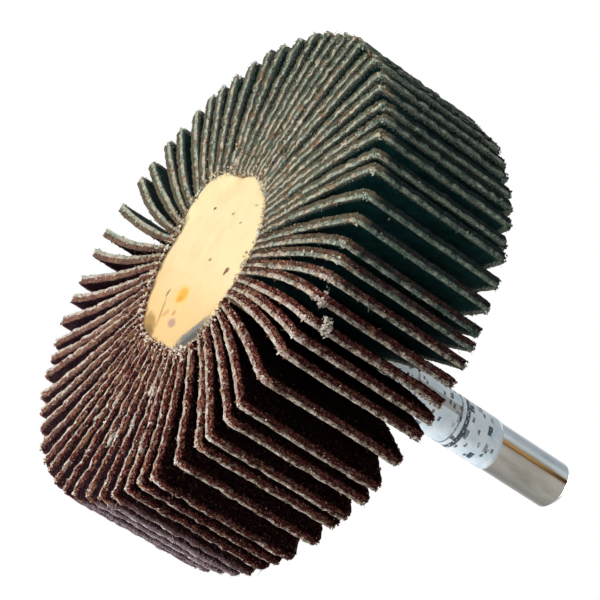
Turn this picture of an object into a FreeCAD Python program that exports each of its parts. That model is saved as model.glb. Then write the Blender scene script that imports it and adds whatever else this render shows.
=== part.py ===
import FreeCAD, Part
import math
import os

# Mounted flap wheel: coated cloth flaps fanned round a cast resin core on a steel shank.
# The wheel stands on the front edges of its flaps, at z = 0, with the shank straight up.
# A flap's cloth side faces growing angles about +Z, and its grit side faces shrinking ones.

# Driving dimensions in millimetres, degrees and plain shares
SIZES = [
    ("wheel_radius", 30.0),
    ("flap_width", 19.0),
    ("flap_thickness", 0.8),
    ("corner_wear", 0.7),
    ("flap_bow", 0.7),
    ("bow_spread", 0.2),
    ("tip_wear", 0.3),
    ("core_radius", 11.0),
    ("core_front_recess", 0.4),
    ("core_back_recess", 0.5),
    ("root_depth", 0.8),
    ("resin_web", 0.17),
    ("root_crowding", 0.55),
    ("shank_radius", 3.0),
    ("shank_root_radius", 2.75),
    ("shank_free_length", 37.0),
    ("shank_front_cover", 3.0),
    ("shank_end_chamfer", 0.9),
    ("shank_root_chamfer", 0.3),
]

# Where each flap's tip stands on the worn wheel, in degrees, in order round the wheel
TIP_ANGLES = [
    3, 8, 12, 17, 21, 27.5, 32, 38.5, 43, 49, 53.5, 58, 63, 67, 73.5, 79, 84.5,
    88, 92, 96.5, 101, 105, 109, 115.5, 122.5, 126.5, 132, 135.5, 141.5, 149.5, 154, 158.5,
    163.5, 168.5, 175, 181.5, 187, 194, 200, 205, 211.5, 218, 224, 229.5, 236, 240.5, 245,
    251.5, 257.5, 262.5, 270, 275.5, 282.5, 290.5, 295, 301.5, 306, 312, 317.5, 321.5, 326.5,
    333, 339, 344, 351, 357,
]

# The roots crowd together on one side: where the first one stands, and where they lag most
FIRST_ROOT = -4.0
CROWD_ANGLE = -16.5

# Steps of the waves that vary bow and wear from flap to flap, in radians
BOW_STEP = 2.4
WEAR_STEP = 1.7

FLAPS_IN_A_NODE = 2
doc = FreeCAD.newDocument("flap_wheel")
sheet = doc.addObject("Spreadsheet::Sheet", "sizes")


def fill_sheet():
    for row, (alias, value) in enumerate(SIZES, start=1):
        sheet.set(f"A{row}", alias)
        sheet.set(f"B{row}", str(value))
        sheet.setAlias(f"B{row}", alias)
    doc.recompute()


def size(alias):
    return float(getattr(sheet, alias))


def polar(radius, degrees):
    angle = math.radians(degrees)
    return FreeCAD.Vector(radius * math.cos(angle), radius * math.sin(angle), 0)


def origin_plane(body, role):
    for feature in body.Origin.OriginFeatures:
        if feature.Role == role:
            return feature
    raise ValueError(role)


def new_body(name):
    body = doc.addObject("PartDesign::Body", name)
    body.Label = name
    return body


def new_sketch(body, name, plane, geometry):
    """A sketch of one closed loop on one of the body's origin planes."""
    sketch = body.newObject("Sketcher::SketchObject", name)
    sketch.AttachmentSupport = [(origin_plane(body, plane), "")]
    sketch.MapMode = "FlatFace"
    sketch.addGeometry(geometry, False)
    return sketch


def polygon(points):
    ring = points + points[:1]
    return [Part.LineSegment(a, b) for a, b in zip(ring, ring[1:])]


# Flap layout

def root_radius():
    return size("core_radius") - size("root_depth")


def flap_count():
    """As many roots as fit round the core, each with its thickness and a wall of resin."""
    step = size("flap_thickness") + size("resin_web")
    return int(2 * math.pi * root_radius() / step)


def root_angle(index, count):
    """Even steps, eased by a wave that takes up a share of the resin wall where roots crowd."""
    even = 360.0 * index / count
    step = 2 * math.pi * root_radius() / count
    swing = math.degrees(size("root_crowding") * size("resin_web") / step)
    return even + FIRST_ROOT + swing * math.cos(math.radians(even - CROWD_ANGLE))


def tip_lead(index, count):
    """How far a tip leans ahead of its root, in degrees: the worn pattern, in shares of a step."""
    known = len(TIP_ANGLES)
    place = index % known
    lead = TIP_ANGLES[place] - root_angle(place, known)
    return lead * known / count


def flap_profile(index, count):
    """A bent strip seen along the axis, drawn with its root on the x axis."""
    thick = size("flap_thickness")
    wear = size("tip_wear") * (0.5 + 0.5 * math.sin(WEAR_STEP * index))
    bow = size("flap_bow") + size("bow_spread") * math.sin(BOW_STEP * index)
    root = polar(root_radius(), 0)
    tip = polar(size("wheel_radius") - wear, tip_lead(index, count))
    chord = tip - root
    along = FreeCAD.Vector(chord).normalize()
    bulge = FreeCAD.Vector(along.y, -along.x, 0)
    bend_radius = (chord.Length ** 2 / 4 + bow ** 2) / (2 * bow)
    middle = (root + tip) * 0.5 + bulge * bow
    centre = middle - bulge * bend_radius

    def arc(radius):
        ends = [centre + (end - centre).normalize() * radius for end in (root, middle, tip)]
        return ends, Part.Arc(*ends)

    cloth_points, cloth_side = arc(bend_radius - thick / 2)
    grit_points, grit_side = arc(bend_radius + thick / 2)
    root_edge = Part.LineSegment(grit_points[0], cloth_points[0])
    tip_edge = Part.LineSegment(cloth_points[2], grit_points[2])
    return [cloth_side, tip_edge, grit_side, root_edge]


def tip_corner_edges(shape):
    """The two short edges across a flap's tip, at its front and at its back."""
    reach = max(vertex.Point.Length for vertex in shape.Vertexes)
    found = []
    for number, edge in enumerate(shape.Edges, start=1):
        flat = abs(edge.BoundBox.ZLength) < 1e-6
        short = edge.Length < 1.5 * size("flap_thickness")
        outer = math.hypot(edge.CenterOfMass.x, edge.CenterOfMass.y) > reach / 2
        if flat and short and outer:
            found.append(f"Edge{number}")
    return found


def make_flap(index, count):
    name = f"flap_{index + 1:02d}"
    body = new_body(name)
    sketch = new_sketch(body, f"{name}_profile", "XY_Plane", flap_profile(index, count))
    pad = body.newObject("PartDesign::Pad", f"{name}_strip")
    pad.Profile = sketch
    pad.setExpression("Length", "sizes.flap_width")
    doc.recompute([pad])
    worn = body.newObject("PartDesign::Chamfer", f"{name}_worn_corners")
    worn.Base = (pad, tip_corner_edges(pad.Shape))
    worn.setExpression("Size", "sizes.corner_wear")
    body.Tip = worn
    body.Placement = FreeCAD.Placement(
        FreeCAD.Vector(), FreeCAD.Rotation(FreeCAD.Vector(0, 0, 1), root_angle(index, count))
    )
    return body


def make_flaps():
    """All flaps, and the nodes that hold neighbouring ones together."""
    count = flap_count()
    flaps = [make_flap(index, count) for index in range(count)]
    nodes = []
    for first in range(0, count, FLAPS_IN_A_NODE):
        node = doc.addObject("Part::Compound", f"flap_pair_{len(nodes) + 1:02d}")
        node.Label = node.Name
        node.Links = flaps[first:first + FLAPS_IN_A_NODE]
        nodes.append(node)
    return nodes


# Shank

def core_back():
    return size("flap_width") - size("core_back_recess")


def make_shank():
    """A turned pin: a slimmer root held in the core, a shoulder, and the grip that tools hold."""
    body = new_body("shank")
    grip_radius = size("shank_radius")
    root_radius_inside = size("shank_root_radius")
    low = size("shank_front_cover")
    shoulder = core_back()
    high = size("flap_width") + size("shank_free_length")
    root_cut = size("shank_root_chamfer")
    end_cut = size("shank_end_chamfer")
    outline = [
        FreeCAD.Vector(0, low, 0),
        FreeCAD.Vector(root_radius_inside - root_cut, low, 0),
        FreeCAD.Vector(root_radius_inside, low + root_cut, 0),
        FreeCAD.Vector(root_radius_inside, shoulder, 0),
        FreeCAD.Vector(grip_radius, shoulder, 0),
        FreeCAD.Vector(grip_radius, high - end_cut, 0),
        FreeCAD.Vector(grip_radius - end_cut, high, 0),
        FreeCAD.Vector(0, high, 0),
    ]
    sketch = new_sketch(body, "shank_outline", "XZ_Plane", polygon(outline))
    turning = body.newObject("PartDesign::Revolution", "shank_turning")
    turning.Profile = sketch
    turning.ReferenceAxis = (sketch, ["V_Axis"])
    turning.Angle = 360
    return body


# Resin core

def core_outline():
    """Half section: a plain disc, set back a little from the flaps' edges front and back."""
    radius = size("core_radius")
    front = size("core_front_recess")
    back = core_back()
    return [
        FreeCAD.Vector(0, front, 0),
        FreeCAD.Vector(radius, front, 0),
        FreeCAD.Vector(radius, back, 0),
        FreeCAD.Vector(0, back, 0),
    ]


def make_core(shank, flap_nodes):
    """Resin cast round the shank and the flap roots, so it has their exact seats."""
    blank = new_body("core_blank")
    sketch = new_sketch(blank, "core_section", "XZ_Plane", polygon(core_outline()))
    casting = blank.newObject("PartDesign::Revolution", "core_casting")
    casting.Profile = sketch
    casting.ReferenceAxis = (sketch, ["V_Axis"])
    casting.Angle = 360
    inserts = doc.addObject("Part::Compound", "core_inserts")
    inserts.Links = [shank] + flap_nodes
    core = doc.addObject("Part::Cut", "resin_core")
    core.Base = blank
    core.Tool = inserts
    core.Label = "resin_core"
    return core


def check_objects(nodes):
    for item in doc.Objects:
        if "Invalid" in item.State or "Error" in item.State:
            raise RuntimeError(f"{item.Label} did not build: {item.State}")
    for node in nodes:
        if node.Shape.isNull() or not node.Shape.isValid():
            raise RuntimeError(f"{node.Label} has no valid shape")


def export_nodes(nodes):
    os.makedirs("parts", exist_ok=True)
    for node in nodes:
        node.Shape.exportStep(f"parts/{node.Label}.step")


fill_sheet()
flap_nodes = make_flaps()
shank = make_shank()
core = make_core(shank, flap_nodes)
doc.recompute()

nodes = [shank, core] + flap_nodes
check_objects(nodes)
export_nodes(nodes)
for node in nodes:
    print(f"{node.Label}: {node.Shape.Volume:.1f} mm3, {len(node.Shape.Solids)} solid(s)")
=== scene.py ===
import math

import bpy
import numpy as np
from mathutils import Matrix, Vector, noise


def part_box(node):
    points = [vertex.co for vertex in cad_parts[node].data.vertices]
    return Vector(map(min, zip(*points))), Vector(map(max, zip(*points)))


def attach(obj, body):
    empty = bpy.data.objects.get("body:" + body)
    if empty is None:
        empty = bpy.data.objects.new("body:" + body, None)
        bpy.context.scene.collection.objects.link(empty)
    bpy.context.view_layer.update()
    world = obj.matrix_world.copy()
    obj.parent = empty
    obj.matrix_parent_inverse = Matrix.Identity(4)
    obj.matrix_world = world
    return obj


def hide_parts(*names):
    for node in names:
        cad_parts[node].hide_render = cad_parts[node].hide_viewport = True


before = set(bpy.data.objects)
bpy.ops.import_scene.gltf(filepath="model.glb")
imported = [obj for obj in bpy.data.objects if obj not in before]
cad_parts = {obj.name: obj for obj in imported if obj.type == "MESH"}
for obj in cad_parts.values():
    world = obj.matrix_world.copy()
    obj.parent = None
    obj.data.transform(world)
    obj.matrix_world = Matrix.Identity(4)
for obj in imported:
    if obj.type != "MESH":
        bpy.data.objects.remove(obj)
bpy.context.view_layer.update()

# Lengths are in millimetres until a mesh is written, and angles are in degrees
MM = 0.001

# Camera: the photograph's view, from in front of the wheel's working face
FRAME_PX = 600
FOCAL_PX = 2279.0
SENSOR = 36.0
VIEW_TARGET = (1.75, 1.84, 12.37)
VIEW_DISTANCE = 257.3
VIEW_AZIMUTH = 103.2
VIEW_ELEVATION = -25.9
VIEW_ROLL = -123.1

# Paper label round the shank, a little askew, and the lengthwise brown line on the steel beyond it
LABEL_START = 20.0
LABEL_END = 44.4
LABEL_SKEW = 0.6
LABEL_SKEW_ANGLE = 190.0
LABEL_LAP_ANGLE = 250.0
LABEL_LAP = 42.0
BROWN_LINE_ANGLE = 78.0

FLAP_NODES = sorted(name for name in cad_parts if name.startswith("flap_pair"))


def srgb(red, green, blue):
    """A colour as it is seen, 0 to 255, as the linear values that a shader takes."""
    def linear(value):
        value /= 255
        return value / 12.92 if value <= 0.04045 else ((value + 0.055) / 1.055) ** 2.4
    return (linear(red), linear(green), linear(blue), 1.0)


# Shader helpers

class Shader:
    """A Principled material with short calls for the nodes that this scene uses."""

    def __init__(self, name, roughness, metallic=0.0, specular=0.5):
        self.material = bpy.data.materials.new(name)
        self.material.use_nodes = True
        self.nodes = self.material.node_tree.nodes
        self.links = self.material.node_tree.links
        self.surface = self.nodes["Principled BSDF"]
        self.surface.inputs["Roughness"].default_value = roughness
        self.surface.inputs["Metallic"].default_value = metallic
        self.surface.inputs["Specular IOR Level"].default_value = specular
        self.colour = None

    def put(self, socket, value):
        if isinstance(value, bpy.types.NodeSocket):
            self.links.new(value, socket)
        else:
            socket.default_value = value

    def add(self, kind, **values):
        """A new node, with its input sockets set or linked by name, such as from_min."""
        node = self.nodes.new("ShaderNode" + kind)
        for name, value in values.items():
            self.put(node.inputs[name.replace("_", " ").title()], value)
        return node

    def attribute(self, name, output="Vector"):
        node = self.nodes.new("ShaderNodeAttribute")
        node.attribute_name = name
        return node.outputs[output]

    def place(self):
        """The point's place on the object, in millimetres."""
        node = self.nodes.new("ShaderNodeTexCoord")
        return self.vector("SCALE", node.outputs["Object"], scale=1 / MM)

    def vector(self, operation, first, second=None, scale=None, output="Vector"):
        node = self.nodes.new("ShaderNodeVectorMath")
        node.operation = operation
        self.put(node.inputs[0], first)
        if second is not None:
            self.put(node.inputs[1], second)
        if scale is not None:
            node.inputs["Scale"].default_value = scale
        return node.outputs[output]

    def split(self, vector):
        return self.add("SeparateXYZ", vector=vector).outputs

    def math(self, operation, first, second=0.0):
        node = self.nodes.new("ShaderNodeMath")
        node.operation = operation
        self.put(node.inputs[0], first)
        self.put(node.inputs[1], second)
        return node.outputs[0]

    def plus(self, first, second):
        return self.math("ADD", first, second)

    def times(self, first, second):
        return self.math("MULTIPLY", first, second)

    def apart(self, first, second):
        """How far two values lie from each other."""
        return self.math("ABSOLUTE", self.math("SUBTRACT", first, second))

    def smooth(self, value, low, high, to_low=0.0, to_high=1.0):
        node = self.add(
            "MapRange", value=value, from_min=low, from_max=high, to_min=to_low, to_max=to_high
        )
        node.interpolation_type = "SMOOTHSTEP"
        return node.outputs["Result"]

    def fade(self, value, low, high):
        """Falls from 1 at low to 0 at high."""
        return self.smooth(value, low, high, 1.0, 0.0)

    def noise(self, vector, scale, detail=3.0, rough=0.55):
        node = self.add("TexNoise", vector=vector, scale=scale, detail=detail, roughness=rough)
        return node.outputs["Fac"]

    def cells(self, vector, scale):
        return self.add("TexVoronoi", vector=vector, scale=scale).outputs

    def ramp(self, value, stops, sharp=False):
        """Colours along a value; each stop is its place and the colour as srgb takes it."""
        node = self.nodes.new("ShaderNodeValToRGB")
        ramp = node.color_ramp
        if sharp:
            ramp.interpolation = "CONSTANT"
        while len(ramp.elements) < len(stops):
            ramp.elements.new(0.5)
        for element, (place, *seen) in zip(ramp.elements, stops):
            element.position = place
            element.color = srgb(*seen)
        self.put(node.inputs["Fac"], value)
        return node.outputs["Color"]

    def mix(self, share, first, second):
        """One colour over another, as srgb takes them or as sockets."""
        node = self.nodes.new("ShaderNodeMix")
        node.data_type = "RGBA"
        self.put(node.inputs["Factor"], share)
        # A Mix node's colours are its sockets 6 and 7, and its result is socket 2
        for socket, colour in ((6, first), (7, second)):
            self.put(node.inputs[socket], srgb(*colour) if isinstance(colour, tuple) else colour)
        return node.outputs[2]

    def lay(self, share, colour):
        """Lays a colour over the present one."""
        self.colour = self.mix(share, self.colour, colour)

    def bump(self, height, distance, strength):
        return self.add("Bump", strength=strength, distance=distance * MM, height=height).outputs["Normal"]

    def finish(self, normal=None, roughness=None):
        sockets = self.surface.inputs
        for name, value in (("Base Color", self.colour), ("Normal", normal), ("Roughness", roughness)):
            if value is not None:
                self.put(sockets[name], value)
        return self.material


# Materials

# Where the flaps' looks change, in millimetres: past the front edges; from the rim at small and
# negative y, paler with painted light, to the near one at large y, darker with painted shade; towards
# the left side, paler with painted light; and inwards from a cut edge
FRONT_ENDS = (0.8, 2.2)
NEAR_SIDE_SHADE_ENDS = (3.0, 11.0)
LEFT_SIDE_LIGHT = (-6.0, -20.0)
CUT_EDGE = (0.4, 0.8)
# How far soft noise shifts the border between the warm and the green half
BORDER_WANDER = 16.0


def cloth_material():
    """The flap's back: dark green woven cloth, worn pale where its edges fray."""
    shade = Shader("green_cloth", roughness=0.9, specular=0.06)
    strip = shade.attribute("strip")
    edge = shade.attribute("edge", "Fac")
    along, across, _ = shade.split(strip)
    blotch = shade.noise(strip, 0.6, 4.0)
    fine = shade.noise(strip, 7.0, 2.0)
    warp = shade.math("SINE", shade.times(along, 17.0))
    weft = shade.math("SINE", shade.times(across, 17.0))
    weave = shade.times(warp, weft)
    green = shade.ramp(blotch, [(0.3, 7, 30, 32), (0.5, 11, 44, 45), (0.7, 18, 62, 59)])
    green = shade.mix(shade.smooth(fine, 0.45, 0.75, 0.0, 0.5), green, (38, 78, 72))
    pale = shade.ramp(fine, [(0.36, 50, 62, 56), (0.5, 112, 118, 104), (0.66, 196, 194, 178)])
    reach = shade.plus(edge, shade.times(shade.noise(strip, 3.4, 3.0), -1.3))
    worn = shade.smooth(reach, -0.4, 0.1, 0.9, 0.0)
    shade.colour = shade.mix(worn, green, pale)
    height = shade.plus(shade.times(weave, 0.2), fine)
    return shade.finish(shade.bump(height, 0.15, 0.7))


def grit_material():
    """The flap's working side: coarse brown grains in dark resin, a few pale broken ones, painted light
    and shade.
    """
    shade = Shader("brown_grit", roughness=0.85, specular=0.0)
    strip = shade.attribute("strip")
    edge = shade.attribute("edge", "Fac")
    grains = shade.cells(strip, 3.6)
    small = shade.cells(strip, 8.5)
    share = shade.split(grains["Color"])[0]
    # Grain colours from near black to pale; the palest grains are partly painted glints
    shade.colour = shade.ramp(share, [
        (0.0, 76, 32, 32),
        (0.28, 110, 50, 47),
        (0.5, 138, 66, 60),
        (0.7, 162, 90, 78),
        (0.88, 194, 134, 114),
        (0.965, 226, 188, 164),
    ], sharp=True)
    # Dark resin bond between the grains, deepened with painted shade
    gap_bond_and_shade = shade.smooth(grains["Distance"], 0.42, 0.75, 0.0, 0.85)
    shade.lay(gap_bond_and_shade, (22, 9, 11))
    # Pale specks: partly pale broken grains, partly painted glints
    pale_grain_and_glint = shade.smooth(shade.split(small["Color"])[1], 0.95, 0.99)
    shade.lay(pale_grain_and_glint, (208, 160, 140))
    streak = shade.noise(shade.vector("MULTIPLY", strip, (0.35, 1.3, 1.0)), 1.0, 3.0)
    tan = shade.times(shade.smooth(streak, 0.56, 0.66, 0.0, 0.6), shade.fade(edge, 0.45, 0.8))
    shade.lay(tan, (206, 154, 112))
    # Painted shade: the grit face darkens away from its cut edges, deep between the flaps
    patchy = shade.times(shade.math("SUBTRACT", shade.noise(strip, 2.6, 3.0), 0.5), 0.9)
    gap_shade = shade.smooth(shade.plus(edge, patchy), 0.3, 0.95, 0.0, 0.93)
    place = shade.place()
    towards_top, aside, level = shade.split(place)
    # Colour of that painted shade: near black at large y, lighter at small and negative y
    dark = shade.mix(shade.smooth(aside, *NEAR_SIDE_SHADE_ENDS), (62, 44, 53), (12, 6, 8))
    near = shade.fade(edge, *CUT_EDGE)
    gold = shade.times(shade.smooth(shade.noise(place, 0.5, 4.0), 0.55, 0.62, 0.0, 0.36), near)
    gold = shade.times(gold, shade.smooth(aside, 7.0, 1.0))
    shade.lay(gold, (214, 164, 118))
    chalk = shade.times(shade.smooth(shade.noise(place, 0.75, 3.0), 0.6, 0.68, 0.0, 0.6), near)
    shade.lay(chalk, (204, 192, 180))
    shade.lay(gap_shade, dark)
    blotch = shade.noise(strip, 0.5, 3.0)
    shade.lay(shade.smooth(blotch, 0.5, 0.7, 0.0, 0.35), (34, 14, 16))
    in_front = shade.fade(level, *FRONT_ENDS)
    # Painted light and shade on the rims: pale at small and negative y, dark at large y
    at_rim = shade.times(shade.smooth(level, *FRONT_ENDS), shade.fade(edge, 0.4, 0.9))
    rim_light_and_shade = shade.mix(shade.smooth(aside, *NEAR_SIDE_SHADE_ENDS), (196, 178, 188), (38, 17, 20))
    shade.lay(shade.times(at_rim, 0.68), rim_light_and_shade)
    # Painted light: the grit's cut edges paler towards the left side
    left_light = shade.times(shade.smooth(aside, *LEFT_SIDE_LIGHT, 0.0, 0.3), near)
    shade.lay(left_light, (216, 172, 152))
    side = shade.plus(towards_top, shade.times(blotch, BORDER_WANDER))
    dusty = shade.times(shade.smooth(side, 4.0, 16.0), shade.smooth(edge, 0.45, 0.9, 0.85, 0.0))
    shade.lay(dusty, shade.mix(in_front, (36, 54, 54), (122, 120, 98)))
    height = shade.math("SUBTRACT", 1.0, grains["Distance"])
    height = shade.plus(height, shade.times(small["Distance"], -0.5))
    return shade.finish(shade.bump(height, 0.35, 1.0))


def fray_material():
    """Frayed cloth at the cut edges: cream and grey threads, stained green on one half."""
    shade = Shader("frayed_edge", roughness=0.95, specular=0.06)
    strip = shade.attribute("strip")
    place = shade.place()
    towards_top, aside, level = shade.split(place)
    in_front = shade.fade(level, *FRONT_ENDS)
    fine = shade.noise(strip, 5.5, 3.0, 0.65)
    tufts = shade.noise(place, 1.5, 3.0, 0.6)
    broad = shade.noise(place, 0.3, 3.0)
    from_edge = shade.times(shade.attribute("edge", "Fac"), -0.42)
    # Painted light: the fray's tone raised towards the left side; it also falls inwards from the cut edge
    outer = shade.plus(shade.smooth(aside, *LEFT_SIDE_LIGHT, 0.1, 0.15), from_edge)
    tone = shade.plus(shade.times(fine, 0.5), shade.times(tufts, 0.5))
    # Painted light: the front edges a little paler
    tone = shade.plus(tone, shade.plus(outer, shade.times(in_front, 0.035)))
    warm = shade.ramp(tone, [
        (0.42, 82, 40, 38), (0.5, 142, 96, 84), (0.57, 206, 182, 166), (0.65, 246, 240, 228),
    ])
    lilac = shade.ramp(tone, [
        (0.42, 66, 46, 52), (0.48, 148, 130, 134), (0.54, 220, 210, 208), (0.62, 248, 244, 240),
    ])
    cream = shade.ramp(tone, [
        (0.45, 48, 28, 27), (0.52, 116, 94, 84), (0.59, 186, 170, 152), (0.68, 244, 238, 224),
    ])
    # On the rims, painted light and shade: the paler lilac at small and negative y, the darker cream at
    # large y
    warm = shade.mix(in_front, shade.mix(shade.smooth(aside, *NEAR_SIDE_SHADE_ENDS), lilac, cream), warm)
    cool = shade.ramp(tone, [
        (0.42, 40, 58, 54), (0.52, 96, 116, 104), (0.6, 152, 166, 146), (0.7, 222, 226, 206),
    ])
    # Painted shade: the green fray darker on the rims than on the front edges
    cool = shade.mix(shade.smooth(level, *FRONT_ENDS, 0.0, 0.4), cool, (22, 46, 48))
    side = shade.plus(towards_top, shade.times(broad, BORDER_WANDER))
    share = shade.smooth(side, 1.0, 13.0)
    shade.colour = shade.mix(share, warm, cool)
    reach = shade.vector("LENGTH", shade.vector("MULTIPLY", place, (1, 1, 0)), output="Value")
    inner = shade.times(shade.math("SUBTRACT", 20.0, reach), 0.009)
    olive = shade.smooth(shade.plus(shade.noise(place, 0.5, 3.0), inner), 0.44, 0.6, 0.0, 0.7)
    shade.lay(shade.times(olive, in_front), shade.ramp(tone, [
        (0.42, 70, 50, 34), (0.52, 158, 126, 96), (0.62, 232, 214, 186),
    ]))
    rust = shade.smooth(shade.noise(place, 0.8, 2.0), 0.58, 0.66, 0.0, 0.7)
    shade.lay(shade.times(rust, in_front), shade.ramp(tone, [
        (0.42, 84, 42, 28), (0.62, 170, 106, 58),
    ]))
    return shade.finish(shade.bump(fine, 0.35, 1.0))


def thread_material():
    """Loose pale fibres."""
    shade = Shader("loose_fibre", roughness=0.95, specular=0.1)
    fine = shade.noise(shade.place(), 2.6, 3.0)
    shade.colour = shade.ramp(fine, [(0.34, 140, 126, 110), (0.5, 196, 186, 172), (0.66, 232, 226, 214)])
    return shade.finish(shade.bump(fine, 0.2, 0.6))


# Spots on the resin, as (x, y, length, width, direction, colour, strength)
RESIN_SPOTS = [
    (-4.6, -0.5, 2.0, 1.6, 100, (246, 200, 104), 0.85),
    (-4.5, -0.3, 1.4, 1.1, 100, (236, 168, 48), 0.9),
    (-5.1, -0.8, 0.9, 0.55, 90, (218, 146, 30), 0.6),
    (6.6, -3.8, 0.42, 0.26, 90, (50, 40, 34), 0.95),
    (0.0, 1.9, 0.42, 0.26, 90, (126, 110, 78), 0.85),
    (-1.1, 6.9, 0.55, 0.42, 90, (112, 44, 34), 0.95),
    (-1.5, 6.7, 0.3, 0.3, 0, (60, 26, 22), 0.9),
    (-4.4, -4.3, 0.7, 0.3, 20, (112, 92, 60), 0.8),
    (5.9, 1.5, 0.4, 0.22, 90, (130, 120, 84), 0.8),
    (4.8, 4.3, 0.35, 0.2, 90, (130, 120, 84), 0.75),
    (7.1, 5.8, 0.5, 0.25, 90, (150, 120, 80), 0.5),
    (-6.8, -0.4, 0.5, 0.5, 0, (196, 140, 90), 0.75),
    (-6.9, -2.4, 0.9, 0.5, 60, (206, 156, 84), 0.6),
    (-8.0, 0.3, 1.3, 0.7, 100, (160, 122, 120), 0.7),
    (-6.8, -3.6, 2.5, 0.32, 166, (166, 128, 72), 0.7),
    (-8.4, -5.0, 2.8, 1.25, 122, (160, 120, 54), 0.85),
    (-9.2, -4.2, 1.6, 0.6, 118, (104, 78, 40), 0.6),
    (-9.3, 7.5, 4.4, 1.5, 51, (104, 108, 104), 0.95),
    (-9.9, 7.6, 3.0, 0.8, 51, (62, 62, 60), 0.8),
]


def resin_material():
    """Cast resin: cream to yellow, with specks, an amber stain and a brown rim on one side, partly stain
    and partly painted shade.
    """
    shade = Shader("cast_resin", roughness=0.5, specular=0.35)
    place = shade.place()
    x, y, z = shade.split(place)
    front_only = shade.fade(z, 3.0, 5.0)
    cloud = shade.noise(place, 0.16, 3.0)
    shade.colour = shade.ramp(cloud, [(0.32, 234, 207, 156), (0.5, 240, 219, 170), (0.68, 236, 210, 158)])
    warmer = shade.smooth(shade.plus(x, shade.times(y, 0.2)), 2.0, -9.0, 0.0, 0.75)
    shade.lay(warmer, (236, 190, 122))
    for spot_x, spot_y, length, width, direction, tint, strength in RESIN_SPOTS:
        turn = math.radians(direction)
        across_x = shade.math("SUBTRACT", x, spot_x)
        across_y = shade.math("SUBTRACT", y, spot_y)
        along = shade.plus(
            shade.times(across_x, math.cos(turn) / length),
            shade.times(across_y, math.sin(turn) / length),
        )
        aside = shade.plus(
            shade.times(across_x, -math.sin(turn) / width),
            shade.times(across_y, math.cos(turn) / width),
        )
        far = shade.plus(shade.math("POWER", along, 2.0), shade.math("POWER", aside, 2.0))
        ragged = shade.plus(far, shade.times(shade.noise(place, 1.6, 2.0), 0.8))
        share = shade.smooth(ragged, 0.5, 1.5, strength, 0.0)
        shade.lay(shade.times(share, front_only), tint)
    speckle = shade.smooth(shade.noise(place, 3.1, 2.0), 0.72, 0.78, 0.0, 0.5)
    shade.lay(speckle, (170, 140, 96))
    # A brown rim on the left side where the core meets the flaps: partly stain, partly painted shade
    radius = shade.attribute("edge", "Fac")
    wander = shade.plus(radius, shade.times(shade.noise(place, 0.9, 3.0), 1.6))
    away = shade.plus(wander, shade.times(y, -0.09))
    rim = shade.times(shade.smooth(away, 11.4, 12.3, 0.0, 0.9), shade.smooth(x, 6.5, 3.5))
    shade.lay(rim, (92, 66, 40))
    shade.surface.inputs["Subsurface Weight"].default_value = 0.1
    shade.surface.inputs["Subsurface Radius"].default_value = (1.0, 0.7, 0.35)
    shade.surface.inputs["Subsurface Scale"].default_value = 0.8 * MM
    waves = shade.noise(place, 0.45, 2.0)
    return shade.finish(shade.bump(waves, 0.5, 0.35))


# Painted reflections: lengthwise light and dark bands on the steel, as (angle, half width, strength,
# colour)
STEEL_REFLECTION_BANDS = [
    (62, 8, 0.6, (188, 196, 198)),
    (40, 9, 0.55, (116, 130, 138)),
    (22, 6, 0.4, (186, 194, 196)),
    (98, 12, 0.45, (170, 166, 156)),
    (178, 42, 0.65, (96, 96, 92)),
]


def steel_material():
    """Bright plated steel with fine turning lines, smears, painted reflections and a lengthwise brown
    line.
    """
    shade = Shader("plated_steel", roughness=0.3, metallic=1.0)
    place = shade.place()
    x, y, z = shade.split(place)
    rings = shade.nodes.new("ShaderNodeCombineXYZ")
    shade.put(rings.inputs[2], shade.times(z, 9.0))
    turning = shade.noise(rings.outputs[0], 1.0, 2.0)
    smear = shade.noise(shade.vector("MULTIPLY", place, (1, 1, 0.25)), 0.5, 3.0)
    # Painted reflection: a warm tone on one side of the shank and a cool one on the other
    warm = shade.ramp(smear, [(0.3, 128, 124, 116), (0.55, 158, 155, 147), (0.75, 142, 139, 132)])
    cool = shade.ramp(smear, [(0.3, 112, 122, 130), (0.55, 164, 174, 180), (0.75, 138, 146, 152)])
    around = shade.math("DEGREES", shade.math("ARCTAN2", y, x))
    far = shade.apart(around, BROWN_LINE_ANGLE - 50)
    shade.colour = shade.mix(shade.fade(far, 44, 50), warm, cool)
    # Painted reflections: the lengthwise light and dark bands
    for centre, half, share, tint in STEEL_REFLECTION_BANDS:
        away = shade.apart(around, centre)
        away = shade.plus(away, shade.times(smear, half * 0.4))
        shade.lay(shade.smooth(away, half * 0.5, half * 1.4, share, 0.0), tint)
    # A lengthwise brown line, with a darker thin line beside it, darker near the shank's end
    line = shade.apart(around, BROWN_LINE_ANGLE)
    line = shade.plus(line, shade.times(smear, 3.0))
    shade.lay(shade.smooth(line, 6.5, 9.5, 0.9, 0.0), (158, 122, 70))
    under = shade.apart(around, BROWN_LINE_ANGLE + 4)
    shade.lay(shade.smooth(under, 1.5, 3.5, 0.7, 0.0), (98, 76, 54))
    dark = shade.times(shade.fade(line, 4.0, 7.0), shade.smooth(z, 48.0, 55.5))
    shade.lay(dark, (58, 46, 36))
    rough = shade.smooth(smear, 0.3, 0.75, 0.22, 0.4)
    return shade.finish(shade.bump(turning, 0.02, 0.35), rough)


# The label's rings, as (distance along it, half width, strength), and its fields of blocks, as
# (blocks to a millimetre, start, end, share left out, strength)
LABEL_RINGS = ((18.6, 0.38, 0.95), (17.6, 0.14, 0.7), (10.5, 0.22, 0.6))
LABEL_FIELDS = ((0.6, 15.5, 22.8, 0.42, 0.95), (1.15, 2.0, 23.6, 0.5, 0.85))


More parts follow.
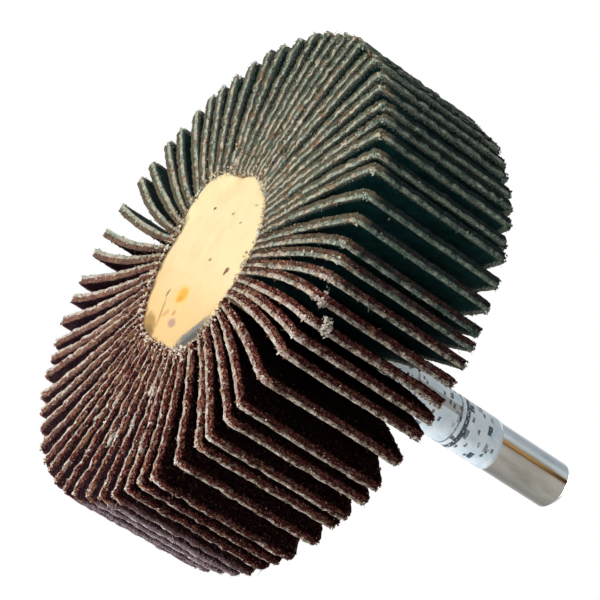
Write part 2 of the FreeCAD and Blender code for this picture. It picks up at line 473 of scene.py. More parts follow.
def paper_material():
    """White label paper, greyed by handling, with worn plain bars and dashes."""
    shade = Shader("label_paper", roughness=0.62, specular=0.35)
    strip = shade.attribute("strip")
    around, along, _ = shade.split(strip)
    cloud = shade.noise(strip, 0.5, 4.0)
    fine = shade.noise(strip, 3.0, 3.0)
    shade.colour = shade.ramp(cloud, [(0.3, 204, 225, 238), (0.5, 230, 243, 251), (0.7, 243, 250, 253)])
    worn = shade.smooth(fine, 0.34, 0.46)

    def band(value, centre, half):
        away = shade.apart(value, centre)
        return shade.fade(away, half * 0.7, half)

    ink = (34, 46, 62)
    smear = shade.times(band(around, 9.6, 0.7), band(along, 14.0, 4.5))
    shade.lay(shade.times(smear, 0.6), (140, 124, 110))
    for level, half, strength in LABEL_RINGS:
        ring = shade.times(band(along, level, half), worn)
        shade.lay(shade.times(ring, strength), ink)
    for pitch, low, high, share, strength in LABEL_FIELDS:
        blocks = shade.cells(shade.vector("MULTIPLY", strip, (pitch * 0.8, pitch * 1.3, 1.0)), 1.0)
        blocks[0].node.distance = "CHEBYCHEV"
        inside = shade.fade(blocks["Distance"], 0.24, 0.3)
        chosen = shade.smooth(shade.split(blocks["Color"])[0], share, share + 0.02)
        field = shade.times(shade.smooth(along, low, low + 0.5), shade.fade(along, high, high + 0.5))
        mark = shade.times(shade.times(inside, chosen), shade.times(field, worn))
        shade.lay(shade.times(mark, strength), ink)
    crease = shade.plus(cloud, shade.times(fine, 0.2))
    return shade.finish(shade.bump(crease, 0.25, 0.5))


# Mesh helpers

# The wheel's own weight presses loose fibre no lower than this, in millimetres
FRONT_LIMIT = -0.35


def add_object(name, data):
    thing = bpy.data.objects.new(name, data)
    bpy.context.scene.collection.objects.link(thing)
    return thing


def rough(points, pitch, seed):
    """Smooth noise from -1 to 1 at each point, with bumps about pitch millimetres apart."""
    shift = Vector((seed * 7.3, seed * 3.1, seed * 1.7))
    return np.array([noise.noise(Vector(p) / pitch + shift) for p in points])


def turned(radius, angle, height):
    """Points at a radius and an angle round the wheel's axis."""
    return np.column_stack([radius * np.cos(angle), radius * np.sin(angle), height])


def sheet_faces(rows, columns):
    """The quads of a grid of points, and the points round its outline in order."""
    index = np.arange(rows * columns).reshape(rows, columns)
    quads = np.stack([
        index[:-1, :-1].ravel(), index[1:, :-1].ravel(), index[1:, 1:].ravel(), index[:-1, 1:].ravel(),
    ], 1)
    loop = np.concatenate([index[:, 0], index[-1, 1:], index[::-1, -1][1:], index[0, ::-1][1:-1]])
    return quads, loop


def copies(faces, size, count):
    """The faces of a small form, for each of its copies; size is how many points one has."""
    return [tuple(v + n * size for v in face) for n in range(count) for face in faces]


class Pieces:
    """Vertices and faces of one object, gathered from several closed forms."""

    def __init__(self):
        self.points = []
        self.strips = []
        self.edges = []
        self.faces = []
        self.slots = []
        self.count = 0

    def add(self, points, faces, slots, strip, edge=None):
        """Adds a closed form; slots is one material slot, or one for each face."""
        self.points.append(points)
        self.strips.append(strip)
        self.edges.append(np.zeros(len(points)) if edge is None else edge)
        for face in faces:
            self.faces.append(tuple(int(v) + self.count for v in face))
        self.slots.extend([slots] * len(faces) if isinstance(slots, int) else slots)
        self.count += len(points)

    def make(self, name, materials):
        mesh = bpy.data.meshes.new(name)
        points = np.concatenate(self.points)
        points[:, 2] = np.maximum(points[:, 2], FRONT_LIMIT)
        points *= MM
        mesh.from_pydata(points.tolist(), [], self.faces)
        for material in materials:
            mesh.materials.append(material)
        mesh.polygons.foreach_set("material_index", self.slots)
        mesh.polygons.foreach_set("use_smooth", [True] * len(self.faces))
        strip = mesh.attributes.new("strip", "FLOAT_VECTOR", "POINT")
        strip.data.foreach_set("vector", np.concatenate(self.strips).astype(np.float32).ravel())
        edge = mesh.attributes.new("edge", "FLOAT", "POINT")
        edge.data.foreach_set("value", np.concatenate(self.edges).astype(np.float32))
        mesh.update()
        return add_object(name, mesh)


def solids_of(node):
    """The separate solids of a CAD node, each as an array of its corner points."""
    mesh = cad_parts[node].data
    places = [tuple(round(c / MM, 3) for c in vertex.co) for vertex in mesh.vertices]
    leader = {place: place for place in places}

    def find(place):
        while leader[place] != place:
            leader[place] = leader[leader[place]]
            place = leader[place]
        return place

    for polygon in mesh.polygons:
        first = find(places[polygon.vertices[0]])
        for vertex in polygon.vertices:
            leader[find(places[vertex])] = first
    groups = {}
    for place in sorted(leader):
        groups.setdefault(find(place), []).append(place)
    return [np.array(points) for points in groups.values()]


# Flaps

class Flap:
    """A CAD flap's bent strip: where it starts and ends, how far it bows and how thick it is."""

    def __init__(self, points):
        flat = points[:, :2]
        reach = np.hypot(flat[:, 0], flat[:, 1])
        front = points[:, 2] < points[:, 2].min() + 0.01
        order = np.argsort(reach)
        root = flat[front][np.argsort(reach[front])][:2]
        far = flat[order[::-1]]
        tip = [far[0]]
        for point in far[1:]:
            if np.linalg.norm(point - tip[0]) > 0.1:
                tip.append(point)
                break
        self.root = root.mean(0)
        self.tip = np.mean(tip, 0)
        self.thick = float(np.linalg.norm(root[0] - root[1]))
        self.low = float(points[:, 2].min())
        self.high = float(points[:, 2].max())
        chord = self.tip - self.root
        self.chord = float(np.linalg.norm(chord))
        self.along = chord / self.chord
        self.bulge = np.array([self.along[1], -self.along[0]])
        self.bow = float(((flat - self.root) @ self.bulge).max()) - self.thick / 2
        self.radius = (self.chord ** 2 / 4 + self.bow ** 2) / (2 * self.bow)
        self.centre = (self.root + self.tip) / 2 + self.bulge * (self.bow - self.radius)
        self.swing = math.asin(self.chord / 2 / self.radius)
        self.length = 2 * self.swing * self.radius

    def line(self, distance):
        """Centre-line points, tangents and cloth-side normals at distances from the root."""
        angle = (distance / self.length * 2 - 1) * self.swing
        out = np.outer(np.cos(angle), self.bulge) + np.outer(np.sin(angle), self.along)
        tangent = np.outer(np.cos(angle), self.along) - np.outer(np.sin(angle), self.bulge)
        return self.centre + out * self.radius, tangent, -out


# Stations along and across a flap, closer together at its free edges
EDGE_STEPS = (0.0, 0.22, 0.5, 0.85)
ALONG_STEP = 0.52
ACROSS_STEP = 0.58
# Rings round the rim, as shares of the thickness from the cloth side: frayed cloth, then grit
RIM_SHARES = (0.1, 0.27, 0.45, 0.6, 0.8)
RIM_SLOTS = (2, 2, 2, 1, 1, 1)
RIM_SWELL = (0.05, 0.1, 0.05, -0.06, 0.02)
CORNER_ROUND = 0.85
EDGE_RAGGED = 0.2
FRAY_FAN = 0.17
# How far the raggedness and the frayed fan reach in from an edge, and where the grit's edge counts from
EDGE_REACH = 0.45
FAN_REACH = 0.4
GRIT_EDGE = 0.45
# Gap between two flaps' places in the noise, so that no two look alike
SEED_STEP = 5.0
ROOT_SET_BACK = 0.55
ROOT_COVER = 1.1


def stations(length, step, both_ends):
    """Distances from 0 to length, close together at the end, or at both ends."""
    tail = [length - s for s in EDGE_STEPS[::-1]]
    head = list(EDGE_STEPS) if both_ends else [0.0]
    middle_start = head[-1]
    middle_end = tail[0]
    count = max(2, round((middle_end - middle_start) / step))
    middle = list(np.linspace(middle_start, middle_end, count + 1))[1:-1]
    return np.array(head + middle + tail)


def round_corners(from_tip, from_side):
    """Moves points of a square corner onto a rounded one; distances are from the two edges."""
    x = np.clip((CORNER_ROUND - from_tip) / CORNER_ROUND, 0, 1)
    y = np.clip((CORNER_ROUND - from_side) / CORNER_ROUND, 0, 1)
    new_x = x * np.sqrt(1 - y ** 2 / 2)
    new_y = y * np.sqrt(1 - x ** 2 / 2)
    near_tip = from_tip < CORNER_ROUND
    near_side = from_side < CORNER_ROUND
    from_tip = np.where(near_tip, CORNER_ROUND * (1 - new_x), from_tip)
    from_side = np.where(near_side, CORNER_ROUND * (1 - new_y), from_side)
    return from_tip, from_side


def flap_slab(flap, seed, pieces):
    """The flap's closed body: cloth side, grit side and a ragged rim between them."""
    width = flap.high - flap.low
    along = stations(flap.length, ALONG_STEP, both_ends=False)
    across = stations(width, ACROSS_STEP, both_ends=True)
    grid_along, grid_across = (g.ravel() for g in np.meshgrid(along, across, indexing="ij"))
    rows, columns = len(along), len(across)
    size = rows * columns

    from_tip = flap.length - grid_along
    side = np.minimum(grid_across, width - grid_across)
    from_tip, side = round_corners(from_tip, side)
    at_front = grid_across < width / 2
    distance = flap.length - from_tip
    height = np.where(at_front, side, width - side)

    # The front edge dips under the resin near the root
    cover = np.clip(1 - distance / ROOT_COVER, 0, 1)
    height = height + cover * ROOT_SET_BACK * np.clip(1 - side, 0, 1) * np.where(at_front, 1, -1)

    # Ragged outline: points near a free edge wander in and out
    tag = np.full(size, seed * SEED_STEP)
    seats = np.column_stack([distance, height, tag])
    wander = rough(seats, 0.8, seed) + 0.7 * rough(seats, 0.35, seed + 1)
    free = np.minimum(from_tip, side)
    pull = EDGE_RAGGED * wander * np.exp(-(free / EDGE_REACH) ** 2)
    tip_pull = np.exp(-(from_tip / EDGE_REACH) ** 2)
    side_pull = np.exp(-(side / EDGE_REACH) ** 2) * np.clip(distance / 2, 0, 1)
    distance = distance + pull * tip_pull
    height = height + pull * side_pull * np.where(at_front, -1, 1)

    centre, tangent, normal = flap.line(distance)
    lean = 0.12 * rough(np.stack([distance / 8, height / 9, seats[:, 2]], 1), 1.0, seed + 2)

    def sheet(offset, grain, pitch, number):
        lift = offset + lean + grain * rough(seats + (0, 0, number), pitch, seed + number)
        flat = centre + normal * lift[:, None]
        return np.column_stack([flat, height + flap.low])

    # The cut cloth fans out a little at its edges, where there is room
    fan = FRAY_FAN * np.exp(-(free / FAN_REACH) ** 2) * np.clip((distance - 3) / 4, 0, 1)
    half = flap.thick / 2
    cloth = sheet(half + fan, 0.03, 0.7, 3)
    grit = sheet(-half - fan * 0.6, 0.07, 0.5, 4)

    quads, loop = sheet_faces(rows, columns)
    outward = np.zeros((size, 3))
    outward[:, :2] += tangent * tip_pull[:, None]
    outward[:, 2] += side_pull * np.where(at_front, -1, 1)
    outward /= np.maximum(np.linalg.norm(outward, axis=1), 1e-6)[:, None]

    rings = [loop]
    all_points = [cloth, grit]
    strips = [
        np.column_stack([distance, height, tag]),
        np.column_stack([distance, height, tag + 2]),
    ]
    edges = [free, free + GRIT_EDGE]
    start = 2 * size
    for share, swell in zip(RIM_SHARES, RIM_SWELL):
        base = cloth[loop] * (1 - share) + grit[loop] * share
        ring_seats = strips[0][loop] + (0, 0, share * 2)
        bulge = swell + 0.09 * rough(ring_seats, 0.3, seed + 5) + 0.08 * rough(ring_seats, 0.9, seed + 6)
        all_points.append(base + outward[loop] * bulge[:, None])
        strips.append(ring_seats)
        edges.append(np.full(len(loop), share * 0.5))
        rings.append(np.arange(start, start + len(loop)))
        start += len(loop)
    rings.append(loop + size)

    faces = list(quads) + list(quads[:, ::-1] + size)
    slots = [0] * len(quads) + [1] * len(quads)
    for slot, first, second in zip(RIM_SLOTS, rings, rings[1:]):
        faces += list(np.stack([first, second, np.roll(second, -1), np.roll(first, -1)], 1))
        slots += [slot] * len(first)
    pieces.add(np.concatenate(all_points), faces, slots, np.concatenate(strips), np.concatenate(edges))


def rim_seats(flap, count, rng):
    """Random places along a flap's three free edges: the point, outward, cloth normal, strip."""
    width = flap.high - flap.low
    total = 2 * flap.length + width
    walk = rng.random(count) * total
    on_front = walk < flap.length
    on_tip = (walk >= flap.length) & (walk < flap.length + width)
    distance = np.where(on_front, walk, np.where(on_tip, flap.length, walk - flap.length - width))
    height = np.where(on_front, 0.0, np.where(on_tip, walk - flap.length, width))
    distance = np.clip(distance, ROOT_COVER, flap.length - 0.12 * CORNER_ROUND)
    corner = (flap.length - distance < 0.5) & ~on_tip
    height = np.where(corner & on_front, 0.15, np.where(corner, width - 0.15, height))
    height = np.clip(height, 0.12, width - 0.12) * on_tip + height * ~on_tip
    centre, tangent, normal = flap.line(distance)
    point = np.column_stack([centre, height + flap.low])
    outward = np.zeros((count, 3))
    outward[on_tip, :2] = tangent[on_tip]
    outward[on_front, 2] = -1
    outward[~on_front & ~on_tip, 2] = 1
    normal = np.column_stack([normal, np.zeros(count)])
    strip = np.column_stack([distance, height, np.zeros(count)])
    return point, outward, normal, strip


def clumped(flap, count, seed, rng):
    """Rim places that gather where smooth noise along the edge is high."""
    point, outward, normal, strip = rim_seats(flap, count * 2, rng)
    density = rough(strip + (0, 0, seed * SEED_STEP), 1.3, 31) + 0.5 * rng.normal(size=count * 2)
    width = flap.high - flap.low
    corner = np.hypot(flap.length - strip[:, 0], np.minimum(strip[:, 1], width - strip[:, 1]))
    density += 0.8 * np.exp(-(corner / 1.6) ** 2)
    chosen = np.argsort(-density)[:count]
    return point[chosen], outward[chosen], normal[chosen], strip[chosen]


# Counts for one flap: hairs, sharp grains and tufts. A hair has so many rings of three points.
STRANDS = 50
GRAINS = 520
LUMPS = 210
STRAND_RINGS = 4


def strands(roots, directions, lengths, radii, rng):
    """Short bent hairs, each a closed three-sided tube that tapers to its end."""
    count = len(roots)
    bend = np.clip(rng.normal(size=(count, 3)) * 0.5, -0.8, 0.8)
    steps = np.linspace(0, 1, STRAND_RINGS)
    middle = (
        roots[:, None]
        + directions[:, None] * (steps[None, :, None] * lengths[:, None, None])
        + bend[:, None] * (steps[None, :, None] ** 2 * lengths[:, None, None])
    )
    helper = rng.normal(size=(count, 3))
    first = np.cross(directions, helper)
    first /= np.linalg.norm(first, axis=1)[:, None]
    second = np.cross(directions, first)
    taper = 1 - 0.75 * steps
    turns = np.arange(3) * 2 * math.pi / 3
    around = (
        first[:, None, None] * np.cos(turns)[None, None, :, None]
        + second[:, None, None] * np.sin(turns)[None, None, :, None]
    )
    points = middle[:, :, None] + around * (radii[:, None] * taper[None])[:, :, None, None]
    faces = []
    per = STRAND_RINGS * 3
    for ring in range(STRAND_RINGS - 1):
        for corner in range(3):
            a = ring * 3 + corner
            b = ring * 3 + (corner + 1) % 3
            faces.append((a, b, b + 3, a + 3))
    last = per - 3
    faces += [(2, 1, 0), (last, last + 1, last + 2)]
    return points.reshape(-1, 3), copies(faces, per, count)


def flap_hairs(flap, seed, pieces):
    """Frayed threads along the cloth layer's cut edges, in clumps."""
    rng = np.random.default_rng(1000 + seed)
    point, outward, normal, strip = clumped(flap, STRANDS, seed, rng)
    share = rng.uniform(-0.1, 0.5, STRANDS)
    point = point + normal * (flap.thick * (0.5 - share))[:, None]
    aim = outward * rng.uniform(0.1, 1.0, STRANDS)[:, None]
    aim += normal * rng.uniform(-0.2, 1.2, STRANDS)[:, None]
    aim += rng.normal(size=(STRANDS, 3)) * 0.5
    aim /= np.linalg.norm(aim, axis=1)[:, None]
    lengths = np.minimum(0.14 + rng.gamma(1.4, 0.1, STRANDS), 0.6)
    radii = rng.uniform(0.03, 0.06, STRANDS)
    points, faces = strands(point - outward * 0.08, aim, lengths, radii, rng)
    per = STRAND_RINGS * 3
    seat = np.repeat(strip + (0, 0, seed * SEED_STEP + 1), per, axis=0) + np.tile(
        np.linspace(0, 0.5, per)[:, None], (STRANDS, 1)
    )
    pieces.add(points, faces, 2, seat)


LUMP_CORNERS = np.array([(1, 0, 0), (-1, 0, 0), (0, 1, 0), (0, -1, 0), (0, 0, 1), (0, 0, -1)], float)
LUMP_FACES = [
    (0, 2, 4), (2, 1, 4), (1, 3, 4), (3, 0, 4), (2, 0, 5), (1, 2, 5), (3, 1, 5), (0, 3, 5),
]
SHARD_CORNERS = np.array([(1, 1, 1), (1, -1, -1), (-1, 1, -1), (-1, -1, 1)], float) * 0.75
SHARD_FACES = [(0, 1, 2), (0, 3, 1), (0, 2, 3), (1, 3, 2)]


def crumbs(places, sizes, corners, faces, rng):
    """Small closed solids of one kind, each turned and stretched at random."""
    count = len(places)
    shape = sizes[:, None, None] * rng.uniform(0.6, 1.3, (count, len(corners), 1))
    stretch = rng.uniform(0.6, 1.5, (count, 1, 3))
    turn = np.linalg.qr(rng.normal(size=(count, 3, 3)))[0]
    turn[:, :, 0] *= np.sign(np.linalg.det(turn))[:, None]
    spread = np.einsum("gij,gcj->gci", turn, corners[None] * shape * stretch)
    points = (places[:, None] + spread).reshape(-1, 3)
    return points, copies(faces, len(corners), count)


# The share of grains at the rim itself; the rest lie on the face inside it
RIM_GRAINS = 0.55


def flap_grains(flap, seed, pieces):
    """Sharp grains that stand out of the grit layer at the rim and on the face inside it."""
    rng = np.random.default_rng(5000 + seed)
    point, outward, normal, _ = rim_seats(flap, GRAINS, rng)
    at_rim = rng.random(GRAINS) < RIM_GRAINS
    depth = np.where(at_rim, rng.uniform(-0.02, 0.55, GRAINS), 0.5 + rng.uniform(0, 0.08, GRAINS))
    inside = np.minimum(np.where(at_rim, 0.0, rng.gamma(1.1, 0.8, GRAINS)), 8)
    point = point - normal * (flap.thick * depth)[:, None] - outward * inside[:, None]
    points, faces = crumbs(point, rng.uniform(0.07, 0.15, GRAINS), SHARD_CORNERS, SHARD_FACES, rng)
    seat = np.repeat(rng.uniform(0, 90, (GRAINS, 3)), len(SHARD_CORNERS), axis=0)
    edge = np.repeat(0.25 + np.minimum(depth, 0.5) * 0.4 + inside * 0.9, len(SHARD_CORNERS))
    pieces.add(points, faces, 1, seat, edge)


def flap_lumps(flap, seed, pieces):
    """Tufts of frayed cloth that hang over the green side, thick in some places, thin in others."""
    rng = np.random.default_rng(9000 + seed)
    point, outward, normal, _ = clumped(flap, LUMPS, seed, rng)
    depth = rng.uniform(-0.05, 0.75, LUMPS)
    inside = rng.gamma(0.8, 0.16, LUMPS)
    point = point + normal * (flap.thick * depth)[:, None] - outward * inside[:, None]
    # A worn tuft at each outer corner
    for height in (flap.low, flap.high):
        count = rng.integers(8, 26)
        centre, _, side = flap.line(np.full(count, flap.length - 0.35))
        tuft = np.column_stack([centre, np.full(count, height + (0.3 if height == flap.low else -0.3))])
        tuft[:, :2] += side * flap.thick * rng.uniform(0.2, 0.6, (count, 1))
        spread = np.clip(rng.normal(size=(count, 3)), -1.3, 1.3)
        point = np.concatenate([point, tuft + spread * (0.17, 0.17, 0.22)])
        depth = np.concatenate([depth, np.zeros(count)])
    count = len(point)
    points, faces = crumbs(point, rng.uniform(0.09, 0.18, count), LUMP_CORNERS, LUMP_FACES, rng)
    seat = np.repeat(rng.uniform(0, 90, (count, 3)), len(LUMP_CORNERS), axis=0)
    seat += points * 0.3
    edge = np.repeat(np.clip(depth, 0, 1) * 0.5, len(LUMP_CORNERS))
    pieces.add(points, faces, 2, seat, edge)


def make_flaps(materials):
    """Dresses each CAD flap with one closed strip and its frayed edges, grains and tufts."""
    number = 0
    for node in FLAP_NODES:
        for points in solids_of(node):
            number += 1
            flap = Flap(points)
            pieces = Pieces()
            flap_slab(flap, number, pieces)
            flap_hairs(flap, number, pieces)
            flap_grains(flap, number, pieces)
            flap_lumps(flap, number, pieces)
            piece = pieces.make(f"flap_{number:02d}", materials)
            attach(piece, "root")
            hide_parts(node)


# Resin core. Its front spread unevenly when it was cast, as (angle, half width, millimetres)
CORE_SPREAD = [(323, 21, 2.2), (141, 24, 2.6), (91, 16, -0.7), (10, 12, 0.5), (218, 20, 0.4)]
CORE_FRONT_EASE = -0.5
CORE_FILM = -0.12
CORE_CROWN = 0.18
CORE_TURNS = 264


def core_spread(angles):
    """How far the front of the core reaches beyond its radius, by angle."""
    reach = np.full(len(angles), CORE_FRONT_EASE)
    for centre, half, amount in CORE_SPREAD:
        away = (np.degrees(angles) - centre + 180) % 360 - 180
        reach += amount * np.exp(-(away / half) ** 2)
    return reach


def core_front(reach, outline, front):
    """Heights of the front: a low crown that lies over the flaps' edges where it spread out."""
    crown = front - CORE_CROWN * (1 - np.clip(reach / 10, 0, 1) ** 2)
    film = crown + (CORE_FILM - crown) * np.clip((reach - 9.7) / 1.1, 0, 1)
    return crown + (film - crown) * np.clip((outline - 10.7) / 0.7, 0, 1)


def make_core(material):
    """The cast core: a low crown in front, a wavy rim where resin met the flaps, a plain back."""
    low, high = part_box("resin_core")
    radius, front, back = high.x / MM, low.z / MM, high.z / MM
    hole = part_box("shank")[1].x / MM - 0.02
    # The front's rings as shares of its outline, each with how far its lip turns under
    shares = [(s, 0.0) for s in (0.06, 0.2, 0.35, 0.5, 0.62, 0.72, 0.8, 0.86, 0.91, 0.95)]
    shares += [(0.975, 0.03), (0.99, 0.08), (1.0, 0.2)]
    # Rings as (radius, height): the side and the back
    profile = [(radius, front + 1.0), (radius, back - 0.8)]
    profile += [(radius - 0.1, back - 0.25), (radius - 0.35, back), (radius * 0.7, back), (hole, back)]
    pieces = Pieces()
    angles = np.arange(CORE_TURNS) * 2 * math.pi / CORE_TURNS
    rings = []
    seats = turned(10, angles, np.zeros(CORE_TURNS))
    outline = radius + core_spread(angles) + 0.08 * rough(seats, 2.6, 3) + 0.06 * rough(seats, 0.9, 4)
    for share, under in shares:
        at = outline * share
        lift = 0.06 * rough(seats * share, 4.0, 5)
        level = core_front(at, outline, front) + lift + under
        rings.append(turned(at, angles, level))
    for ring_radius, ring_height in profile:
        at = ring_radius + 0.15 * rough(seats + (0, 0, ring_height), 2.6, 3) * (ring_radius > 10)
        rings.append(turned(at, angles, np.full(CORE_TURNS, ring_height)))
    points = np.concatenate([[(0, 0, front - CORE_CROWN)]] + rings)
    faces = []
    for turn in range(CORE_TURNS):
        after = (turn + 1) % CORE_TURNS
        faces.append((0, 1 + after, 1 + turn))
        for ring in range(len(rings) - 1):
            a = 1 + ring * CORE_TURNS
            b = a + CORE_TURNS
            faces.append((a + turn, a + after, b + after, b + turn))
    last = 1 + (len(rings) - 1) * CORE_TURNS
    points = np.concatenate([points, [(0, 0, back - 0.5)]])
    for turn in range(CORE_TURNS):
        after = (turn + 1) % CORE_TURNS
        faces.append((last + turn, last + after, len(points) - 1))
    ring_of = np.repeat([share * 11 for share, _ in shares] + [11] * len(profile), CORE_TURNS)
    pieces.add(points, faces, 0, points.copy(), np.concatenate([[0], ring_of, [0]]))
    piece = pieces.make("resin_core_cast", [material])
    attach(piece, "root")
    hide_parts("resin_core")


CRUMBS = 1200


def make_crumbs(materials):
    """Crumbs of resin and fibre in the angle between the core's rim and the flaps, front and back."""
    rng = np.random.default_rng(51)
    low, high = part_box("resin_core")
    turn = rng.uniform(0, 2 * math.pi, CRUMBS)
    behind = rng.random(CRUMBS) < 0.3
    reach = high.x / MM + rng.gamma(1.3, 0.45, CRUMBS) - 0.15 + np.where(behind, 0, core_spread(turn))
    over = np.clip(core_spread(turn), 0, 0.7) / 0.7
    level = np.where(behind, high.z / MM + 0.3, low.z / MM - 0.2 - 0.25 * over)
    level = level + rng.normal(size=CRUMBS) * 0.1
    places = turned(reach, turn, level)
    points, faces = crumbs(places, rng.uniform(0.08, 0.2, CRUMBS), LUMP_CORNERS, LUMP_FACES, rng)
    pieces = Pieces()
    slots = [0 if n % 9 else 1 for n in range(CRUMBS) for _ in LUMP_FACES]
    seat = np.repeat(rng.uniform(0, 90, (CRUMBS, 3)), len(LUMP_CORNERS), axis=0)
    pieces.add(points, faces, slots, seat)
    piece = pieces.make("core_crumbs", materials)
    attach(piece, "root")


# Paper label

def make_label(material):
    """A strip of paper wrapped once round the shank, with a lap, soft creases and torn ends."""
    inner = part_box("shank")[1].x / MM
    lap = math.radians(LABEL_LAP)
    around_steps = 96
    along_steps = 44
    start = math.radians(LABEL_LAP_ANGLE)
    turn = start + np.linspace(0, 2 * math.pi + lap, around_steps)
    level = np.linspace(LABEL_START, LABEL_END, along_steps)
    grid_turn, grid_level = (g.ravel() for g in np.meshgrid(turn, level, indexing="ij"))
    over = np.clip((grid_turn - start - 2 * math.pi + 0.12) / 0.12, 0, 1)
    around = (grid_turn - start) * inner
    strip = np.column_stack([around, grid_level - LABEL_START, np.zeros(len(around))])
    crease = np.maximum(rough(strip, 3.2, 21), 0) * 0.07
    ends = np.minimum(grid_level - LABEL_START, LABEL_END - grid_level)
    ragged = 0.12 * rough(strip, 1.1, 22) * np.exp(-ends / 0.5)
    up = (grid_level - LABEL_START) / (LABEL_END - LABEL_START)
    height = grid_level + ragged + up * LABEL_SKEW * np.cos(grid_turn - math.radians(LABEL_SKEW_ANGLE))
    pieces = Pieces()
    sheets = []
    for lift in (0.03, 0.11):
        radius = inner + lift + over * 0.1 + crease
        sheets.append(turned(radius, grid_turn, height))
    size = len(around)
    quads, loop = sheet_faces(around_steps, along_steps)
    rim = np.stack([loop, np.roll(loop, -1), np.roll(loop, -1) + size, loop + size], 1)
    faces = list(quads[:, ::-1]) + list(quads + size) + list(rim)
    points = np.concatenate(sheets)
    pieces.add(points, faces, 0, np.concatenate([strip, strip]))
    piece = pieces.make("paper_label", [material])
    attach(piece, "root")


# Loose fibre caught on the working face, as (x, y, z, length, width, direction)
THREADS = [
    (-17.9, -2.2, 0.0, 2.4, 0.3, 190),
    (-20.5, -4.6, 0.0, 0.9, 0.3, 60),
    (-20.2, 4.6, 0.0, 2.4, 0.3, 168),
    (-16.0, 4.6, 0.0, 1.6, 0.2, 170),
    (-22.0, 8.7, 0.0, 1.6, 0.18, 160),
    (-22.7, 1.2, 0.0, 1.4, 0.2, 180),
    (-18.4, -16.8, 0.0, 1.2, 0.2, 220),
    (-3.4, 29.3, 0.9, 1.4, 0.4, 175),
    (-5.6, 29.4, 2.5, 1.6, 0.85, 150),
    (12.0, 6.4, 0.0, 1.2, 0.16, 30),
    (16.8, 6.5, 0.0, 1.0, 0.14, 20),
    (9.8, 9.2, 0.0, 1.2, 0.2, 40),
    (12.5, -4.0, 0.0, 0.9, 0.14, 340),
]
CLUMP_LUMPS = 150
CLUMP_HAIRS = 40


def make_threads(material):
    """Clumps of pale fibre caught on the flaps' edges."""
    rng = np.random.default_rng(77)
    pieces = Pieces()
    for x, y, z, length, width, direction in THREADS:
        turn = math.radians(direction)
        axis = np.array([math.cos(turn), math.sin(turn), 0])

        def seats(count):
            share = rng.normal(size=count) * 0.26
            middle = np.array([x, y, z + 0.05]) + axis * (share * length)[:, None]
            return middle + np.clip(rng.normal(size=(count, 3)), -1.2, 1.2) * width * 0.4

        points, faces = crumbs(
            seats(CLUMP_LUMPS), rng.uniform(0.09, 0.18, CLUMP_LUMPS), LUMP_CORNERS, LUMP_FACES, rng
        )
        pieces.add(points, faces, 0, points)
        aim = axis * rng.choice((-1, 1), CLUMP_HAIRS)[:, None] + rng.normal(size=(CLUMP_HAIRS, 3)) * 0.5
        aim /= np.linalg.norm(aim, axis=1)[:, None]
        lengths = rng.uniform(0.2, 0.55, CLUMP_HAIRS)
        radii = rng.uniform(0.025, 0.05, CLUMP_HAIRS)
        points, faces = strands(seats(CLUMP_HAIRS), aim, lengths, radii, rng)
        pieces.add(points, faces, 0, points)
    piece = pieces.make("loose_threads", [material])
    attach(piece, "root")


# Studio

FLOOR_COLOUR = (0.84, 0.84, 0.84, 1.0)


def floor_material():
    """A pale floor that is seen from above only, so that a view from below looks through it."""
    shade = Shader("pale_floor", roughness=0.9, specular=0.1)
    output = shade.nodes["Material Output"]
    clear = shade.nodes.new("ShaderNodeBsdfTransparent")
    choose = shade.nodes.new("ShaderNodeMixShader")
    side = shade.nodes.new("ShaderNodeNewGeometry")
    shade.links.new(side.outputs["Backfacing"], choose.inputs[0])
    shade.links.new(shade.surface.outputs[0], choose.inputs[1])
    shade.links.new(clear.outputs[0], choose.inputs[2])
    shade.links.new(choose.outputs[0], output.inputs["Surface"])
    shade.colour = FLOOR_COLOUR
    return shade.finish()


def make_floor():
    mesh = bpy.data.meshes.new("floor")
    reach = 3.0
    level = (FRONT_LIMIT - 0.01) * MM
    corners = ((-reach, -reach), (reach, -reach), (reach, reach), (-reach, reach))
    mesh.from_pydata([(x, y, level) for x, y in corners], [], [(0, 1, 2, 3)])
    mesh.materials.append(floor_material())
    floor = add_object("floor", mesh)
    floor.visible_shadow = False
    floor.visible_diffuse = False
    floor.visible_glossy = False
    floor.visible_transmission = False


# How strongly the world lights the object; the camera and mirrors see it as plain white
WORLD_LIGHT = 0.22


def make_world():
    """White to the camera and in reflections, and softer as a light."""
    world = bpy.data.worlds.new("studio")
    bpy.context.scene.world = world
    world.use_nodes = True
    nodes = world.node_tree.nodes
    link = world.node_tree.links.new
    nodes.clear()
    path = nodes.new("ShaderNodeLightPath")
    seen, mirrored = (nodes.new("ShaderNodeMath") for _ in range(2))
    seen.operation = mirrored.operation = "MAXIMUM"
    link(path.outputs["Is Glossy Ray"], mirrored.inputs[0])
    link(path.outputs["Is Transmission Ray"], mirrored.inputs[1])
    link(path.outputs["Is Camera Ray"], seen.inputs[0])
    link(mirrored.outputs[0], seen.inputs[1])
    choose = nodes.new("ShaderNodeMixShader")
    link(seen.outputs[0], choose.inputs[0])
    for socket, strength in ((1, WORLD_LIGHT), (2, 1.0)):
        shell = nodes.new("ShaderNodeBackground")
        shell.inputs["Color"].default_value = (1, 1, 1, 1)
        shell.inputs["Strength"].default_value = strength
        link(shell.outputs[0], choose.inputs[socket])
    output = nodes.new("ShaderNodeOutputWorld")
    link(choose.outputs[0], output.inputs["Surface"])


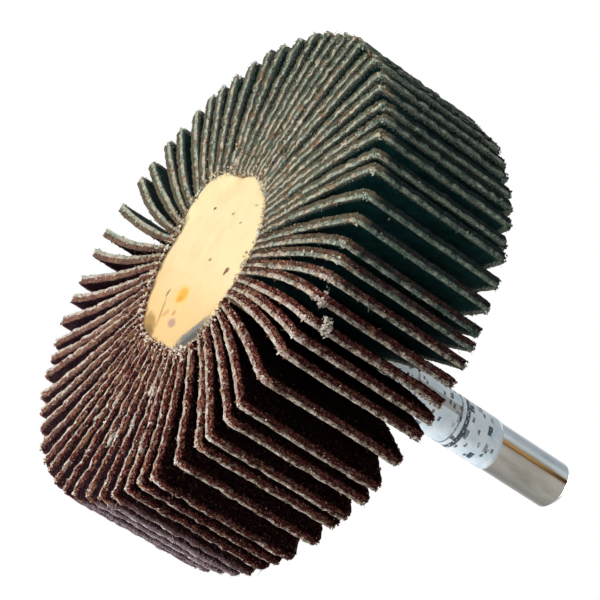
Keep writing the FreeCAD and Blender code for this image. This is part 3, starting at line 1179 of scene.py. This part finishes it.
# Lamps as (name, azimuth, elevation, distance in metres, size in metres, watts, seen in mirrors)
LAMPS = [
    ("key_below", 110, -70, 0.6, 0.12, 2.75, False),
    ("side_below", 30, -24, 0.7, 0.2, 1.3, False),
    ("front_below", 195, -28, 0.8, 0.3, 1.9, False),
    ("edge_low", 205, 4, 0.8, 0.3, 2.2, False),
    ("rim_low", 162, -5, 0.8, 0.3, 1.2, False),
    ("key_above", 300, 58, 0.7, 0.25, 4.0, True),
    ("fill_above", 120, 40, 0.8, 0.5, 1.0, False),
]


def direction(azimuth, elevation):
    """A unit vector from the wheel towards a lamp or the camera."""
    a = math.radians(azimuth)
    e = math.radians(elevation)
    return Vector((math.cos(e) * math.cos(a), math.cos(e) * math.sin(a), math.sin(e)))


def make_lamps():
    middle = Vector((0, 0, 0.012))
    for name, azimuth, elevation, distance, size, watts, mirrored in LAMPS:
        light = bpy.data.lights.new(name, "AREA")
        light.shape = "DISK"
        light.size = size
        light.energy = watts
        lamp = add_object(name, light)
        towards = direction(azimuth, elevation)
        lamp.location = middle + towards * distance
        lamp.visible_glossy = mirrored
        lamp.rotation_euler = towards.to_track_quat("Z", "Y").to_euler()


def make_camera():
    data = bpy.data.cameras.new("camera")
    data.sensor_width = SENSOR
    data.lens = FOCAL_PX / FRAME_PX * SENSOR
    data.clip_start = 0.01
    data.clip_end = 20
    camera = add_object("camera", data)
    back = direction(VIEW_AZIMUTH, VIEW_ELEVATION)
    right = (-back).cross(Vector((0, 0, 1))).normalized()
    upright = right.cross(-back)
    roll = math.radians(VIEW_ROLL)
    up = upright * math.cos(roll) + right * math.sin(roll)
    side = (-back).cross(up)
    place = Vector(VIEW_TARGET) * MM + back * VIEW_DISTANCE * MM
    camera.matrix_world = Matrix.Translation(place) @ Matrix((side, up, back)).transposed().to_4x4()
    bpy.context.scene.camera = camera


def finish_shank(material):
    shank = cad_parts["shank"]
    for slot in shank.material_slots:
        slot.material = material


cloth = cloth_material()
grit = grit_material()
fray = fray_material()
make_flaps([cloth, grit, fray])
resin = resin_material()
make_core(resin)
make_crumbs([fray, resin])
make_label(paper_material())
make_threads(thread_material())
finish_shank(steel_material())
make_floor()
make_world()
make_lamps()
make_camera()
bpy.context.scene.view_settings.view_transform = "Standard"
